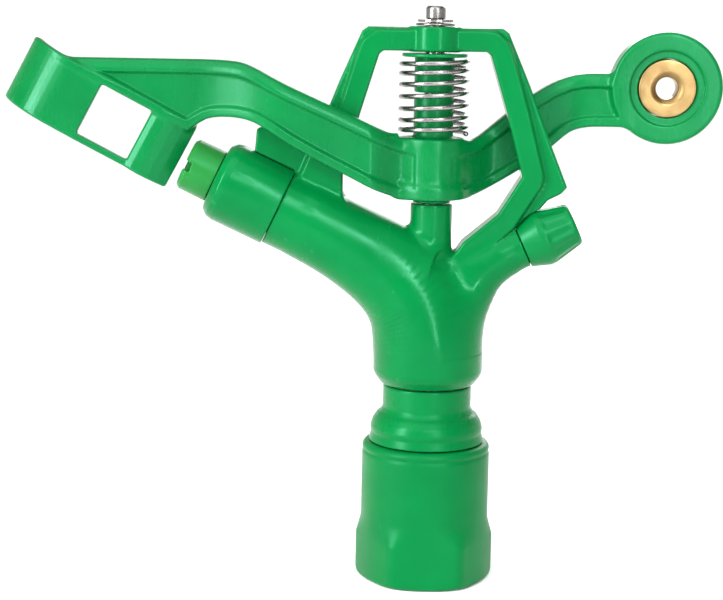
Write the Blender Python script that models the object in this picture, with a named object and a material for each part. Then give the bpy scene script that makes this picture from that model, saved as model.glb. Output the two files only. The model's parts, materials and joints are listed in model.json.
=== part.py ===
"""Impact sprinkler with a threaded inlet, a turning head and a spring-returned drive arm.

Shapes are worked out in millimetres, and each finished mesh is scaled to metres by MM.
The origin is the centre of the inlet's mouth, +Z runs up the riser axis, and the main
barrel points towards -X.
"""

from math import cos, pi, radians, sin

import bmesh
import bpy
from mathutils import Matrix, Vector

MM = 0.001
GAP = 0.3  # running or fitting clearance between neighbouring pieces
SLIVER = 0.004  # anything thinner than this is closed up after a Boolean

# Inlet socket, with its wrench hexagon
SOCKET_R = 16.1
SOCKET_TOP_Z = 34.8
HEX_CORNER_R = 18.4
HEX_FLATS = 31.5
HEX_TOP_Z = 13.9
THREAD_R = 13.25
THREAD_END_Z = 19.6
PASSAGE_R = 9.6
CHAMBER_R = 12.6
CHAMBER_Z = 22.2

# Bearing collar and stem
NECK_R = 11.1
NECK_TOP_Z = 49.4
SPIGOT_Z = 29.6
BUSH_OUTER_R = 9.9
STEM_R = 8.0
STEM_BORE_R = 6.0
STEM_Z = (24.3, 63.6)
STEM_FLANGE_R = 11.8

FRICTION_Z = (28.3, SPIGOT_Z - GAP)
THRUST_Z = (27.0, 28.0)
WASHER_R = 11.9

# Sprinkler body
SKIRT_R = 13.7
SKIRT_Z = 49.7
SKIRT_CAVITY_R = 11.3
SKIRT_CAVITY_TOP_Z = 57.6
DUST_Z = (SKIRT_Z, SKIRT_Z + 0.9)
BEARING_SPRING_R = 9.7
BEARING_SPRING_Z = (51.5, 56.7)
HEEL_RUN = 33.0  # how far along the barrel the heel blends into it
BARREL_PIVOT_Z = 75.7
BARREL_RISE = 25.0
BARREL_R = 9.65
BARREL_END = 41.8
BARREL_BORE_R = 7.4
NUT_R = 10.1
REAR_PIVOT_Z = 73.9
REAR_R = 5.3
REAR_END = 25.2
REAR_NOZZLE_END = 39.4
REAR_OUTLINE = [(5.6, REAR_END + GAP), (7.1, 30.0), (7.1, 31.5), (5.4, 38.6), (4.9, REAR_NOZZLE_END)]
COLUMN_R = 5.2
COLUMN_TOP_Z = 95.0

# Bridge, a flat frame in the barrel's plane
BRIDGE_HALF_DEPTH = 4.0
BRIDGE_TOP_Z = 138.0
BRIDGE_UNDER_Z = 132.3
WEB_HALF_DEPTH = 2.0

# Fulcrum pin and what is on it
PIN_R = 2.4
PIN_Z = (85.3, 143.2)
PIN_HOLE_R = PIN_R + GAP
HUB_R = 6.7
HUB_Z = (96.2, 111.3)
HUB_BORE_R = 4.1
SPIGOT_TOP_Z = 121.6
SPRING_R = 8.1
SPRING_WIRE_R = 0.6
SPRING_Z = (112.2, 130.0)
SPRING_TURNS = 7

# Drive arm
ARM_THICKNESS = 6.0
ARM_OFFSET = BRIDGE_HALF_DEPTH + GAP + ARM_THICKNESS / 2
ARM_FLANGE = 2.2
ARM_RECESS = 1.0
WEIGHT_CENTRE = (57.3, 124.1)
WEIGHT_RIM_R = 13.7
WEIGHT_R = 7.1
WEIGHT_HOLE_R = 2.7
WEIGHT_Y = 4.0
HUB_HALF_X = 4.0  # the arm's two halves leave the hub's plane this far out
CRANK_RUN = 12.0  # ... and are clear of the bridge legs after this much more
SPOON_Y = -1.0
SPOON_SHIFT_X = (-36.0, -60.0)
WEIGHT_SHIFT_X = (34.0, 46.0)

# Spoon: a plate with a window, laid out in its own frame, u along the jet, v across it
SPOON_CORNER = (-66.0, 97.8)
SPOON_RISE = 28.0
SPOON_HEIGHT = 17.0
SPOON_FACE_Y = -4.4
CURL_START = 32.0
CURL_REACH = 14.3
CURL_DEPTH = 13.0
SPOON_PLATE = 2.4
WINDOW_U = (11.4, 25.0)
WINDOW_V = (1.7, 15.3)

# Sides of a turned piece
ROUND = 40
SMALL_ROUND = 24
BORE_ROUND = 20

GREEN = (0.010, 0.380, 0.110)


# ---- materials -------------------------------------------------------------------------


def material(name, colour, roughness, metallic=0.0):
    made = bpy.data.materials.new(name)
    made.use_nodes = True
    shader = made.node_tree.nodes["Principled BSDF"]
    shader.inputs["Base Color"].default_value = (*colour, 1.0)
    shader.inputs["Roughness"].default_value = roughness
    shader.inputs["Metallic"].default_value = metallic
    return made


def plastic(name, colour=GREEN):
    return material(name, colour, 0.35)


def rubber(name):
    return material(name, (0.02, 0.02, 0.02), 0.75)


def steel(name):
    return material(name, (0.55, 0.54, 0.52), 0.28, 1.0)


# ---- mesh building ---------------------------------------------------------------------


def turned(profile, segments=ROUND):
    """A solid of revolution about Z. The profile is (radius, z); it closes on itself."""
    mesh = bmesh.new()
    ring = [mesh.verts.new((r, 0.0, z)) for r, z in profile]
    edges = [mesh.edges.new((a, b)) for a, b in zip(ring, ring[1:] + ring[:1])]
    on_axis = [e for e in edges if all(abs(v.co.x) < 1e-6 for v in e.verts)]
    bmesh.ops.delete(mesh, geom=on_axis, context="EDGES_FACES")
    bmesh.ops.spin(
        mesh,
        geom=mesh.verts[:] + mesh.edges[:],
        cent=(0.0, 0.0, 0.0),
        axis=(0.0, 0.0, 1.0),
        angle=2 * pi,
        steps=segments,
    )
    bmesh.ops.remove_doubles(mesh, verts=mesh.verts, dist=1e-3)
    bmesh.ops.recalc_face_normals(mesh, faces=mesh.faces)
    return mesh


def ring(inner, outer, low, high, segments=SMALL_ROUND):
    return turned([(inner, low), (outer, low), (outer, high), (inner, high)], segments)


def rod(radius, low, high, segments=SMALL_ROUND):
    return turned([(0.0, low), (radius, low), (radius, high), (0.0, high)], segments)


def loft(sections):
    """Skins a row of loops that have the same number of points, and caps the two ends."""
    mesh = bmesh.new()
    loops = [[mesh.verts.new(p) for p in section] for section in sections]
    for first, second in zip(loops, loops[1:]):
        for i, vertex in enumerate(first):
            j = (i + 1) % len(first)
            mesh.faces.new((vertex, first[j], second[j], second[i]))
    mesh.faces.new(loops[0][::-1])
    mesh.faces.new(loops[-1])
    bmesh.ops.recalc_face_normals(mesh, faces=mesh.faces)
    return mesh


def prism(outline, y_low, y_high):
    """An (x, z) outline extruded along Y."""
    return loft([[(x, y, z) for x, z in outline] for y in (y_low, y_high)])


def swept(centres, radii, sides):
    """Round sections about a path of 3-D centres, each square to the path there."""
    sections = []
    for i, centre in enumerate(centres):
        before = Vector(centres[max(i - 1, 0)])
        after = Vector(centres[min(i + 1, len(centres) - 1)])
        heading = (after - before).normalized()
        side = Vector((0.0, 1.0, 0.0))
        if abs(heading.y) > 0.9:
            side = Vector((0.0, 0.0, 1.0))
        across = side.cross(heading).normalized()
        up = heading.cross(across)
        section = []
        for k in range(sides):
            angle = 2 * pi * k / sides
            offset = radii[i] * (cos(angle) * across + sin(angle) * up)
            section.append(Vector(centre) + offset)
        sections.append(section)
    return loft(sections)


def helix(radius, low, high, turns, wire_radius, sides=5, steps=14):
    """A coil of wire about Z, its first and last half turns lying almost flat."""
    count = turns * steps
    centres = []
    for i in range(count + 1):
        share = i / count
        rise = share * share * (3.0 - 2.0 * share)
        level = low + (high - low) * (0.65 * share + 0.35 * rise)
        angle = 2 * pi * turns * share
        centres.append((radius * cos(angle), radius * sin(angle), level))
    return swept(centres, [wire_radius] * len(centres), sides)


def placed(mesh, matrix):
    bmesh.ops.transform(mesh, matrix=matrix, verts=mesh.verts)
    return mesh


def moved(x, y, z):
    return Matrix.Translation((x, y, z))


def barrel_frame():
    """Local Z runs out along the main barrel."""
    tilt = Matrix.Rotation(-radians(90.0 - BARREL_RISE), 4, "Y")
    return moved(0.0, 0.0, BARREL_PIVOT_Z) @ tilt


def rear_frame():
    """Local Z runs out along the rear port."""
    tilt = Matrix.Rotation(radians(90.0 - BARREL_RISE), 4, "Y")
    return moved(0.0, 0.0, REAR_PIVOT_Z) @ tilt


# ---- objects ---------------------------------------------------------------------------


def raw_object(name, mesh):
    """An object still in millimetres."""
    data = bpy.data.meshes.new(name)
    mesh.to_mesh(data)
    mesh.free()
    made = bpy.data.objects.new(name, data)
    bpy.context.scene.collection.objects.link(made)
    return made


def finished(made, finish):
    """Scales the mesh to metres and gives it its material and its shading."""
    made.data.transform(Matrix.Scale(MM, 4))
    made.data.materials.clear()
    made.data.materials.append(finish)
    made.data.shade_smooth()
    made.data.set_sharp_from_angle(angle=radians(35.0))
    return made


def new_object(name, mesh, finish):
    return finished(raw_object(name, mesh), finish)


def tidied(data):
    """Closes the hair-thin gaps and slivers that a Boolean leaves behind."""
    mesh = bmesh.new()
    mesh.from_mesh(data)
    bmesh.ops.remove_doubles(mesh, verts=mesh.verts, dist=SLIVER)
    bmesh.ops.dissolve_degenerate(mesh, edges=mesh.edges, dist=SLIVER)
    mesh.to_mesh(data)
    mesh.free()


def shaped(name, finish, base, *steps):
    """Adds and cuts shapes in turn; a step is ("UNION", mesh), ("DIFFERENCE", mesh) ..."""
    made = raw_object(name, base)
    for operation, mesh in steps:
        helper = raw_object(name + "_helper", mesh)
        modifier = made.modifiers.new(operation.title(), "BOOLEAN")
        modifier.operation = operation
        modifier.solver = "EXACT"
        modifier.object = helper
        graph = bpy.context.evaluated_depsgraph_get()
        data = bpy.data.meshes.new_from_object(made.evaluated_get(graph))
        made.modifiers.clear()
        made.data = data
        tidied(data)
        bpy.data.objects.remove(helper)
    made.data.name = name
    return finished(made, finish)


def empty(name, z=0.0):
    made = bpy.data.objects.new(name, None)
    made.location = (0.0, 0.0, z * MM)
    bpy.context.scene.collection.objects.link(made)
    return made


def hang(pieces, parent):
    """Parents the pieces and leaves them where they are."""
    bpy.context.view_layer.update()
    for piece in pieces:
        piece.parent = parent
        piece.matrix_parent_inverse = parent.matrix_world.inverted()


# ---- inlet and bearing -----------------------------------------------------------------


def make_inlet_socket():
    outer = [
        (0.0, 0.0),
        (15.3, 0.0),
        (SOCKET_R, 0.9),
        (SOCKET_R, 33.2),
        (15.5, 34.2),
        (14.6, SOCKET_TOP_Z),
        (0.0, SOCKET_TOP_Z),
    ]
    hex_blank = [
        (0.0, 0.1),
        (17.0, 0.1),
        (HEX_CORNER_R, 1.6),
        (HEX_CORNER_R, 10.8),
        (15.6, HEX_TOP_Z),
        (0.0, HEX_TOP_Z),
    ]
    corner = HEX_FLATS / 2 / cos(pi / 6)
    flats = turned([(0.0, -1.0), (corner, -1.0), (corner, 20.0), (0.0, 20.0)], 6)
    bore = [
        (0.0, -1.0),
        (THREAD_R + 1.9, -1.0),
        (THREAD_R, 1.2),
        (THREAD_R, THREAD_END_Z),
        (PASSAGE_R, THREAD_END_Z),
        (PASSAGE_R, CHAMBER_Z),
        (CHAMBER_R, CHAMBER_Z),
        (CHAMBER_R, SOCKET_TOP_Z + 1.0),
        (0.0, SOCKET_TOP_Z + 1.0),
    ]
    return shaped(
        "inlet_socket",
        plastic("socket_green"),
        turned(hex_blank, ROUND),
        ("INTERSECT", flats),
        ("UNION", turned(outer)),
        ("DIFFERENCE", turned(bore)),
    )


def make_bearing_collar():
    inner = BUSH_OUTER_R + GAP
    profile = [
        (inner, SPIGOT_Z),
        (CHAMBER_R - GAP, SPIGOT_Z),
        (CHAMBER_R - GAP, SOCKET_TOP_Z + GAP),
        (14.6, SOCKET_TOP_Z + GAP),
        (14.5, 36.6),
        (14.1, 38.4),
        (13.6, 40.2),
        (12.7, 41.7),
        (11.6, 42.5),
        (NECK_R, 43.6),
        (NECK_R, NECK_TOP_Z - 0.4),
        (NECK_R - 0.4, NECK_TOP_Z),
        (inner, NECK_TOP_Z),
    ]
    return new_object("bearing_collar", turned(profile), plastic("collar_green"))


def make_inlet_pieces():
    bush = ring(STEM_R + GAP, BUSH_OUTER_R, SPIGOT_Z + GAP, NECK_TOP_Z - GAP)
    riser = ring(9.0, THREAD_R - GAP, THREAD_END_Z - 2.7, THREAD_END_Z - GAP)
    friction = ring(STEM_R + GAP, WASHER_R, *FRICTION_Z)
    return [
        make_inlet_socket(),
        make_bearing_collar(),
        new_object("bearing_bush", bush, material("bush_white", (0.75, 0.74, 0.7), 0.4)),
        new_object("riser_washer", riser, rubber("riser_rubber")),
        new_object("friction_washer", friction, rubber("friction_rubber")),
    ]


def make_bearing_stem():
    low, high = STEM_Z
    flange_top = low + 2.4
    profile = [
        (STEM_BORE_R, low),
        (STEM_FLANGE_R, low),
        (STEM_FLANGE_R, flange_top),
        (STEM_R, flange_top),
        (STEM_R, high),
        (STEM_BORE_R, high),
    ]
    return new_object("bearing_stem", turned(profile, SMALL_ROUND), plastic("stem_green"))


# ---- sprinkler body --------------------------------------------------------------------


def bezier(points, share):
    """A point on the cubic curve of four (x, z) control points."""
    rest = 1.0 - share
    weights = (rest**3, 3 * rest**2 * share, 3 * rest * share**2, share**3)
    return tuple(sum(w * p[k] for w, p in zip(weights, points)) for k in (0, 1))


def elbow():
    """Skirt and heel in one sweep: up the riser axis, then over into the barrel."""
    centres = [(0.0, 0.0, z) for z in (SKIRT_Z, 52.0, 52.8, 58.0)]
    radii = [SKIRT_R - 2.2, SKIRT_R - 0.3, SKIRT_R, SKIRT_R]
    controls = ((0.0, 58.0), (0.0, 73.0), (-9.0, 77.0), barrel_point(HEEL_RUN, 0.0))
    steps = 9
    for i in range(1, steps + 1):
        share = i / steps
        x, z = bezier(controls, share)
        centres.append((x, 0.0, z))
        radii.append(SKIRT_R + (BARREL_R - 0.35 - SKIRT_R) * share**1.2)
    return swept(centres, radii, ROUND)


def rear_fillet():
    """Blends the underside of the rear port into the skirt."""
    sections = [((4.0, 64.5), 9.6), ((8.0, 71.0), 8.6), ((12.5, 77.0), 6.6), ((17.5, 81.6), 5.0)]
    centres = [(x, 0.0, z) for (x, z), _ in sections]
    return swept(centres, [radius for _, radius in sections], SMALL_ROUND)


def bridge_outline():
    """The frame as one (x, z) loop: up outside, over the bar, and back round inside."""
    outside = [(33.3, 99.6), (29.4, 109.0), (23.3, 124.5), (17.9, 136.9), (16.4, BRIDGE_TOP_Z)]
    inside = [(22.0, 102.0), (18.0, 117.0), (13.6, 131.4), (12.6, BRIDGE_UNDER_Z)]
    left_up = [(-34.0, 95.0)] + [(-x, z) for x, z in outside]
    right_down = list(reversed(outside)) + [(31.9, 98.0), (28.6, 96.3), (22.0, 88.4), (8.0, 76.0)]
    right_up = [(4.0, 80.0), (7.8, 85.6), (16.3, 92.8)] + inside
    left_down = [(-x, z) for x, z in reversed(inside)] + [(-22.0, 90.0)]
    return left_up + right_down + right_up + left_down


def barrel_point(along, height):
    """The (x, z) of a point in the barrel's plane, so far along its axis and above it."""
    rise = radians(BARREL_RISE)
    x = -along * cos(rise) + height * sin(rise)
    z = BARREL_PIVOT_Z + along * sin(rise) + height * cos(rise)
    return x, z


def waterway(radius, low, high):
    return rod(radius, low, high, BORE_ROUND)


def rear_clearance():
    """Room for the rear nozzle, which comes off its spigot along the port."""
    around = [(r + 0.4, z) for r, z in REAR_OUTLINE]
    start = (around[0][0], REAR_END)
    return turned([(0.0, REAR_END), start] + around + [(0.0, REAR_NOZZLE_END)], SMALL_ROUND)


def make_sprinkler_body():
    over_nut = NUT_R + 2 * GAP
    web = [
        barrel_point(BARREL_END - 0.4, 6.0),
        barrel_point(BARREL_END - 0.4, over_nut),
        barrel_point(52.9, over_nut),
        (-43.3, 112.6),
        (-41.8, 113.4),
        (-27.0, 111.6),
        (-27.0, 92.0),
    ]
    column = [
        (0.0, 74.0),
        (COLUMN_R + 1.6, 74.0),
        (COLUMN_R + 1.6, 86.6),
        (COLUMN_R + 0.4, 87.6),
        (COLUMN_R, 89.0),
        (COLUMN_R, COLUMN_TOP_Z),
        (0.0, COLUMN_TOP_Z),
    ]
    barrel_shape = placed(rod(BARREL_R, -3.0, BARREL_END, ROUND), barrel_frame())
    rear_spigot = placed(rod(4.4, REAR_END - 1.0, REAR_END + 7.3, BORE_ROUND), rear_frame())
    cavity = [
        (0.0, SKIRT_Z - 1.0),
        (SKIRT_CAVITY_R, SKIRT_Z - 1.0),
        (SKIRT_CAVITY_R, SKIRT_CAVITY_TOP_Z),
        (STEM_R + GAP, SKIRT_CAVITY_TOP_Z),
        (STEM_R + GAP, STEM_Z[1] + GAP),
        (STEM_BORE_R, STEM_Z[1] + GAP),
        (STEM_BORE_R, 76.0),
        (0.0, 78.0),
    ]
    frame = prism(bridge_outline(), -BRIDGE_HALF_DEPTH, BRIDGE_HALF_DEPTH)
    bmesh.ops.bevel(
        frame,
        geom=[e for e in frame.edges if abs(e.verts[0].co.y - e.verts[1].co.y) < 1e-6],
        offset=0.9,
        segments=1,
        affect="EDGES",
    )
    return shaped(
        "sprinkler_body",
        plastic("body_green"),
        elbow(),
        ("UNION", barrel_shape),
        ("UNION", placed(rod(REAR_R, 0.0, REAR_END), rear_frame())),
        ("UNION", rear_fillet()),
        ("UNION", turned(column, SMALL_ROUND)),
        ("UNION", prism(web, -WEB_HALF_DEPTH, WEB_HALF_DEPTH)),
        ("UNION", frame),
        ("DIFFERENCE", placed(rear_clearance(), rear_frame())),
        ("UNION", rear_spigot),
        ("UNION", rod(6.3, BRIDGE_UNDER_Z - GAP / 2, BRIDGE_TOP_Z + 0.2)),
        ("DIFFERENCE", turned(cavity, SMALL_ROUND)),
        ("DIFFERENCE", placed(waterway(STEM_BORE_R, 0.0, 20.0), barrel_frame())),
        ("DIFFERENCE", placed(waterway(BARREL_BORE_R, 18.0, BARREL_END + 2.0), barrel_frame())),
        ("DIFFERENCE", placed(waterway(3.0, 0.0, REAR_END + 9.0), rear_frame())),
        ("DIFFERENCE", rod(PIN_HOLE_R, PIN_Z[0] - GAP, COLUMN_TOP_Z + 1.0, BORE_ROUND)),
        ("DIFFERENCE", rod(PIN_HOLE_R, BRIDGE_UNDER_Z - 3.0, BRIDGE_TOP_Z + 2.0, BORE_ROUND)),
    )


# ---- nozzles ---------------------------------------------------------------------------

SEAL_BACK = BARREL_END + GAP
SEAL_THICKNESS = 0.9
SEAL_R = 9.0
NUT_FRONT = 58.8
TIP_END = 66.8
NOTCH_WIDTH = 2.4  # three key notches in the tip's rim
NOTCH_DEPTH = 1.6


def make_nozzle_nut():
    bore = 5.3
    seat = SEAL_BACK + SEAL_THICKNESS + GAP
    profile = [
        (bore, 33.0),
        (BARREL_BORE_R - GAP, 33.0),
        (BARREL_BORE_R - GAP, seat),
        (SEAL_R + GAP, seat),
        (SEAL_R + GAP, SEAL_BACK),
        (NUT_R - 0.3, SEAL_BACK),
        (NUT_R, SEAL_BACK + 0.4),
        (NUT_R, 56.0),
        (NUT_R - 0.5, 57.6),
        (8.2, NUT_FRONT),
        (bore, NUT_FRONT),
    ]
    nut = placed(turned(profile), barrel_frame())
    return new_object("nozzle_nut", nut, plastic("nut_green"))


def make_main_nozzle():
    shoulder = NUT_FRONT + GAP
    profile = [
        (4.1, 43.6),
        (5.0, 43.6),
        (5.0, shoulder),
        (6.5, shoulder),
        (6.4, TIP_END - 0.7),
        (5.7, TIP_END),
        (3.0, TIP_END),
        (2.2, TIP_END - 1.0),
        (2.2, TIP_END - 4.0),
    ]
    tip = placed(turned(profile, SMALL_ROUND), barrel_frame())
    low, high = TIP_END - NOTCH_DEPTH, TIP_END + 1.0
    half = NOTCH_WIDTH / 2
    notches = []
    for k in range(3):
        notch = prism([(-half, low), (half, low), (half, high), (-half, high)], -8.0, -3.0)
        placed(notch, Matrix.Rotation(radians(120.0 * k), 4, "Z"))
        notches.append(("DIFFERENCE", placed(notch, barrel_frame())))
    return shaped("main_nozzle", plastic("tip_green", (0.08, 0.48, 0.09)), tip, *notches)


def make_stream_straightener():
    low, high = 21.0, 32.0
    plates = []
    for turn in (0.0, 90.0):
        plate = prism([(-6.6, low), (6.6, low), (6.6, high - 0.5), (-6.6, high - 0.5)], -0.5, 0.5)
        plates.append(placed(plate, Matrix.Rotation(radians(turn), 4, "Z")))
    made = shaped(
        "stream_straightener",
        plastic("straightener_white", (0.7, 0.7, 0.68)),
        ring(6.2, BARREL_BORE_R - GAP, low + 0.5, high, BORE_ROUND),
        ("UNION", plates[0]),
        ("UNION", plates[1]),
    )
    frame = barrel_frame()
    frame.translation *= MM
    made.matrix_world = frame
    return made


def make_rear_nozzle():
    seat = REAR_END + 7.3 + GAP
    end = REAR_NOZZLE_END
    bore = [(1.5, end), (1.5, seat), (4.7, seat), (4.7, REAR_END + GAP)]
    profile = REAR_OUTLINE + bore
    nozzle = placed(turned(profile, SMALL_ROUND), rear_frame())
    slot = prism([(-6.0, end - 1.4), (6.0, end - 1.4), (6.0, end + 1.0), (-6.0, end + 1.0)], -0.6, 0.6)
    return shaped(
        "rear_nozzle",
        plastic("rear_green"),
        nozzle,
        ("DIFFERENCE", placed(slot, rear_frame())),
    )


# ---- pin, spring and small fittings -------------------------------------------------------


def make_fulcrum_pin():
    low, high = PIN_Z
    groove = (139.15, 140.05)
    profile = [
        (0.0, low),
        (PIN_R, low),
        (PIN_R, groove[0]),
        (PIN_R - 0.5, groove[0]),
        (PIN_R - 0.5, groove[1]),
        (PIN_R, groove[1]),
        (PIN_R, high - 0.5),
        (PIN_R - 0.5, high),
        (0.0, high),
    ]
    return new_object("fulcrum_pin", turned(profile, BORE_ROUND), steel("pin_steel"))


def make_pin_clip():
    """An open clip that snaps into the pin's groove."""
    outer = 4.4
    mouth = prism([(0.0, 138.0), (6.0, 138.0), (6.0, 141.0), (0.0, 141.0)], -1.4, 1.4)
    return shaped(
        "pin_clip",
        steel("clip_steel"),
        ring(PIN_R - 0.2, outer, 139.3, 139.9, BORE_ROUND),
        ("DIFFERENCE", mouth),
    )


def make_spring_adjuster():
    profile = [
        (PIN_HOLE_R, SPIGOT_TOP_Z + 0.7),
        (4.6, SPIGOT_TOP_Z + 0.7),
        (4.9, SPIGOT_TOP_Z + 1.0),
        (4.9, 130.9),
        (8.0, 130.9),
        (8.0, BRIDGE_UNDER_Z - 2 * GAP),
        (PIN_HOLE_R, BRIDGE_UNDER_Z - 2 * GAP),
    ]
    return new_object("spring_adjuster", turned(profile, SMALL_ROUND), plastic("adjuster_green"))


def make_head_pieces():
    seal = placed(ring(BARREL_BORE_R, SEAL_R, SEAL_BACK, SEAL_BACK + SEAL_THICKNESS), barrel_frame())
    bearing_coil = helix(BEARING_SPRING_R, *BEARING_SPRING_Z, 3, 0.5)
    arm_coil = helix(SPRING_R, *SPRING_Z, SPRING_TURNS, SPRING_WIRE_R)
    thrust = ring(STEM_R + GAP, WASHER_R, *THRUST_Z)
    dust = ring(STEM_R + GAP, SKIRT_CAVITY_R - GAP, *DUST_Z)
    arm_washer = ring(PIN_HOLE_R, 4.7, COLUMN_TOP_Z + GAP, HUB_Z[0] - GAP, BORE_ROUND)
    pin_washer = ring(PIN_HOLE_R, 4.8, BRIDGE_TOP_Z + 0.45, 139.0, BORE_ROUND)
    return [
        make_sprinkler_body(),
        make_bearing_stem(),
        new_object("thrust_washer", thrust, material("thrust_white", (0.8, 0.8, 0.78), 0.45)),
        new_object("dust_washer", dust, rubber("dust_rubber")),
        new_object("bearing_spring", bearing_coil, steel("bearing_spring_steel")),
        make_stream_straightener(),
        new_object("nozzle_seal", seal, rubber("nozzle_rubber")),
        make_nozzle_nut(),
        make_main_nozzle(),
        make_rear_nozzle(),
        make_fulcrum_pin(),
        new_object("arm_washer", arm_washer, plastic("arm_washer_green")),
        make_spring_adjuster(),
        new_object("pin_washer", pin_washer, steel("washer_steel")),
        make_pin_clip(),
        new_object("arm_spring", arm_coil, steel("spring_steel")),
    ]


# ---- drive arm -------------------------------------------------------------------------


def eased(share):
    share = min(max(share, 0.0), 1.0)
    return share * share * (3.0 - 2.0 * share)


def arm_section(x, low, high, y):
    """An I-shaped section: flanges above and below a web that is set back on both sides."""
    half = ARM_THICKNESS / 2
    web = half - ARM_RECESS
    step = 0.5
    soft = 0.7
    rim = ARM_FLANGE if high - low > 3 * ARM_FLANGE else (high - low) / 3
    right = [
        (half - soft, low),
        (half, low + soft),
        (half, low + rim),
        (web, low + rim + step),
        (web, high - rim - step),
        (half, high - rim),
        (half, high - soft),
        (half - soft, high),
    ]
    left = [(-across, z) for across, z in reversed(right)]
    return [(x, y + across, z) for across, z in right + left]


def arm_beam(stations, offset_at):
    return loft([arm_section(x, low, high, offset_at(x)) for x, low, high in stations])


def left_offset(x):
    """Out to clear the bridge leg, then back over the jet's plane at the spoon."""
    near, far = SPOON_SHIFT_X
    back = (ARM_OFFSET + SPOON_Y) * eased((near - x) / (near - far))
    return back - ARM_OFFSET * eased((-x - HUB_HALF_X) / CRANK_RUN)


def right_offset(x):
    near, far = WEIGHT_SHIFT_X
    back = (WEIGHT_Y - ARM_OFFSET) * eased((x - near) / (far - near))
    return back + ARM_OFFSET * eased((x - HUB_HALF_X) / CRANK_RUN)


LEFT_STATIONS = [
    (-2.0, 96.6, 110.6),
    (-7.5, 96.4, 111.3),
    (-10.5, 97.3, 112.5),
    (-14.0, 98.8, 114.1),
    (-17.5, 100.5, 115.7),
    (-21.0, 102.3, 117.3),
    (-28.0, 105.8, 120.4),
    (-35.0, 109.6, 123.5),
    (-39.5, 112.4, 125.7),
    (-43.5, 114.6, 127.7),
    (-47.0, 115.5, 128.9),
    (-51.0, 115.7, 129.3),
    (-55.5, 115.0, 129.4),
    (-60.5, 112.6, 129.4),
]
RIGHT_STATIONS = [
    (2.0, 96.6, 110.4),
    (7.5, 96.2, 110.3),
    (10.5, 96.9, 110.9),
    (14.0, 98.4, 113.3),
    (18.0, 100.7, 116.6),
    (22.0, 103.2, 119.8),
    (26.0, 106.0, 122.5),
    (30.0, 109.2, 124.9),
    (34.0, 112.6, 126.5),
    (37.5, 113.9, 127.2),
    (41.5, 114.3, 127.4),
    (48.0, 114.4, 127.4),
]


def spoon_point(u, v):
    """From the spoon's own frame to (x, z)."""
    rise = radians(SPOON_RISE)
    x = SPOON_CORNER[0] - u * cos(rise) + v * sin(rise)
    z = SPOON_CORNER[1] + u * sin(rise) + v * cos(rise)
    return x, z


def spoon_plan():
    """The plate's outline in plan, (u, y): flat, then curling away from the jet's entry side."""
    near = [(0.0, -2.2), (WINDOW_U[0], -3.6), (WINDOW_U[1], SPOON_FACE_Y), (CURL_START, SPOON_FACE_Y)]
    middle_y = SPOON_FACE_Y + CURL_DEPTH
    outer = []
    inner = []
    for i in range(1, 7):
        angle = radians(12.0 * i)
        for side, set_back in ((outer, 0.0), (inner, SPOON_PLATE)):
            reach, depth = CURL_REACH - set_back, CURL_DEPTH - set_back
            side.append((CURL_START + reach * sin(angle), middle_y - depth * cos(angle)))
    back = [(u, y + SPOON_PLATE) for u, y in reversed(near)]
    return near + outer + inner[::-1] + back


def spoon_plate():
    plan = spoon_plan()
    sections = []
    for v in (0.0, SPOON_HEIGHT):
        corners = [spoon_point(u, v) for u, _ in plan]
        sections.append([(x, y, z) for (x, z), (_, y) in zip(corners, plan)])
    return loft(sections)


def window_cutter():
    corners = [(u, v) for v in WINDOW_V for u in WINDOW_U]
    outline = [spoon_point(*corners[i]) for i in (0, 1, 3, 2)]
    return prism(outline, -12.0, 12.0)


def spoon_roof():
    """Joins the beam to the plate above the window."""
    edge = WINDOW_V[1]
    outline = [
        spoon_point(1.5, edge),
        spoon_point(34.5, edge),
        (-92.4, 129.4),
        (-59.0, 129.4),
        (-59.0, 113.2),
    ]
    roof = prism(outline, -4.2, 1.8)
    bmesh.ops.bevel(
        roof,
        geom=[e for e in roof.edges if min(v.co.z for v in e.verts) > 129.0],
        offset=0.8,
        segments=1,
        affect="EDGES",
    )
    return roof


def upright_turned(centre, profile, segments=ROUND):
    mesh = turned(profile, segments)
    placed(mesh, Matrix.Rotation(radians(-90.0), 4, "X"))
    return placed(mesh, moved(centre[0], 0.0, centre[1]))


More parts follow.
